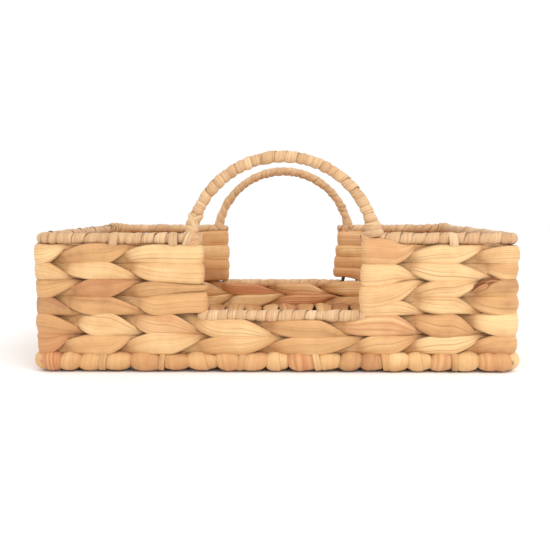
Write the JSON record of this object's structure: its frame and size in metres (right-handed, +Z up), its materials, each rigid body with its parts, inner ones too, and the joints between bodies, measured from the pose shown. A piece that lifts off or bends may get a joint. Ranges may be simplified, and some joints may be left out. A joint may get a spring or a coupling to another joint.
{
  "type": "bread basket",
  "caption": "Low rectangular woven basket with dipped long sides, round arched handles, wrapped rims and a wire frame inside the weave.",
  "frame": {"origin": "centre of the bounding box's bottom face, on the surface that the basket stands on", "axes": "+X along the long side, to the right seen from the front; the front faces -Y; +Z up"},
  "size_m": [0.3998, 0.3, 0.1794],
  "materials": {
    "woven_leaf": "satin flattened plant stems, paired and twisted",
    "leaf_strip": "satin narrow plant strip, wound close",
    "iron_wire": "dull dark varnish on iron wire"
  },
  "bodies": {
    "root": {"front_stake_1": "iron_wire", "front_stake_2": "iron_wire", "front_stake_3": "iron_wire", "front_stake_4": "iron_wire", "front_stake_5": "iron_wire", "front_stake_6": "iron_wire", "front_left_corner_post": "iron_wire", "front_right_corner_post": "iron_wire", "front_handle_wire": "iron_wire", "front_handle_wrap": "leaf_strip", "front_low_rim_wrap": "leaf_strip", "back_stake_1": "iron_wire", "back_stake_2": "iron_wire", "back_stake_3": "iron_wire", "back_stake_4": "iron_wire", "back_stake_5": "iron_wire", "back_stake_6": "iron_wire", "back_left_corner_post": "iron_wire", "back_right_corner_post": "iron_wire", "back_handle_wire": "iron_wire", "back_handle_wrap": "leaf_strip", "back_low_rim_wrap": "leaf_strip", "floor_rib_1": "iron_wire", "floor_rib_2": "iron_wire", "floor_rib_3": "iron_wire", "floor_rib_4": "iron_wire", "bottom_frame_wire": "iron_wire", "rim_wire": "iron_wire", "left_rim_wrap": "leaf_strip", "left_border_wrap": "woven_leaf", "left_course_3": "woven_leaf", "left_course_4": "woven_leaf", "left_course_5": "woven_leaf", "left_course_6": "woven_leaf", "right_rim_wrap": "leaf_strip", "right_border_wrap": "woven_leaf", "right_course_3": "woven_leaf", "right_course_4": "woven_leaf", "right_course_5": "woven_leaf", "right_course_6": "woven_leaf", "wall_course_1": "woven_leaf", "wall_course_2": "woven_leaf", "floor_course_01": "woven_leaf", "floor_course_02": "woven_leaf", "floor_course_03": "woven_leaf", "floor_course_04": "woven_leaf", "floor_course_05": "woven_leaf", "floor_course_06": "woven_leaf", "floor_course_07": "woven_leaf", "floor_course_08": "woven_leaf", "floor_course_09": "woven_leaf", "floor_course_10": "woven_leaf", "floor_course_11": "woven_leaf", "floor_course_12": "woven_leaf", "floor_course_13": "woven_leaf", "floor_course_14": "woven_leaf", "floor_course_15": "woven_leaf", "floor_course_16": "woven_leaf", "floor_course_17": "woven_leaf", "floor_course_18": "woven_leaf"}
  },
  "joints": []
}
